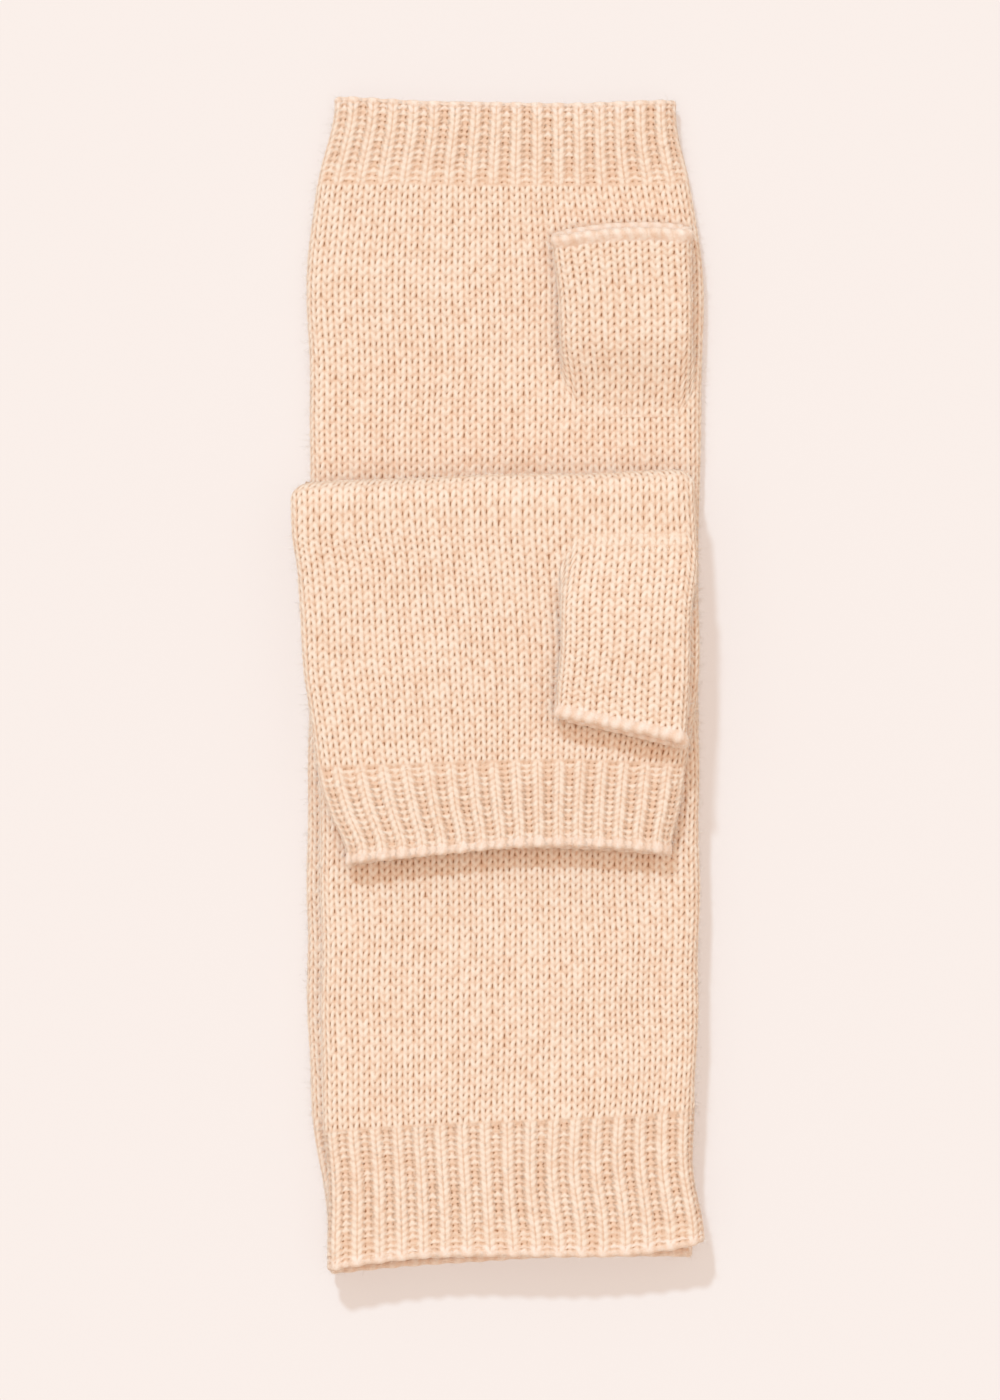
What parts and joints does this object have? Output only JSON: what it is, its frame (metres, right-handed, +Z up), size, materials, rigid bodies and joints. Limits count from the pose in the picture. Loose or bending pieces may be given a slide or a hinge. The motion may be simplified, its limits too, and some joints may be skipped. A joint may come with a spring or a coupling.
{
  "type": "fingerless gloves",
  "caption": "Pair of long knitted fingerless gloves, one lying flat and the other folded over on top of it, with ribbed ends and open thumbs.",
  "frame": {"origin": "below the middle of the pair's outline, on the surface that the lower glove lies on", "axes": "+Y along the gloves towards the lower glove's finger end, +Z up, +X to the side that the thumbs are on"},
  "size_m": [0.1052, 0.3018, 0.0303],
  "materials": {
    "jersey_knit": "soft brushed knit",
    "rib_knit": "soft brushed rib",
    "edge_knit": "soft rolled edge",
    "seam_yarn": "linked yarn"
  },
  "bodies": {
    "lower_glove": {"under_body": "jersey_knit", "under_finger_rib": "rib_knit", "under_finger_edge": "edge_knit", "under_cuff_rib": "rib_knit", "under_cuff_edge": "edge_knit", "under_side_seam": "seam_yarn", "under_thumb_base": "jersey_knit"},
    "lower_thumb": {"under_thumb": "jersey_knit", "under_thumb_edge": "edge_knit", "under_thumb_seam": "seam_yarn"},
    "upper_forearm": {"over_forearm": "jersey_knit", "over_cuff_rib": "rib_knit", "over_cuff_edge": "edge_knit", "over_forearm_seam": "seam_yarn", "over_fold": "jersey_knit"},
    "upper_hand": {"over_hand": "jersey_knit", "over_finger_rib": "rib_knit", "over_finger_edge": "edge_knit", "over_hand_seam": "seam_yarn", "over_thumb_base": "jersey_knit"},
    "upper_thumb": {"over_thumb": "jersey_knit", "over_thumb_edge": "edge_knit", "over_thumb_seam": "seam_yarn"}
  },
  "joints": [
    {"name": "upper_lift", "type": "slide", "parent": "lower_glove", "child": "upper_forearm", "axis": [0, 0, 1], "range_m": [0, 0.08]},
    {"name": "upper_unfold", "type": "hinge", "parent": "upper_forearm", "child": "upper_hand", "pos_m": [0, 0.0536, 0.01525], "axis": [-1, 0, 0], "range_deg": [0, 180], "deforming": ["over_fold"]},
    {"name": "upper_thumb_raise", "type": "hinge", "parent": "upper_hand", "child": "upper_thumb", "pos_m": [0.0322, 0.0172, 0.0228], "axis": [-1, 0, 0], "range_deg": [0, 90], "deforming": ["over_thumb_base"]},
    {"name": "lower_thumb_raise", "type": "hinge", "parent": "lower_glove", "child": "lower_thumb", "pos_m": [0.0335, 0.0906, 0.0074], "axis": [1, 0, 0], "range_deg": [0, 90], "deforming": ["under_thumb_base"]}
  ],
  "couplings": [
    {"joint": "upper_lift", "follows": "upper_unfold", "m_per_rad": 0.02546}
  ]
}
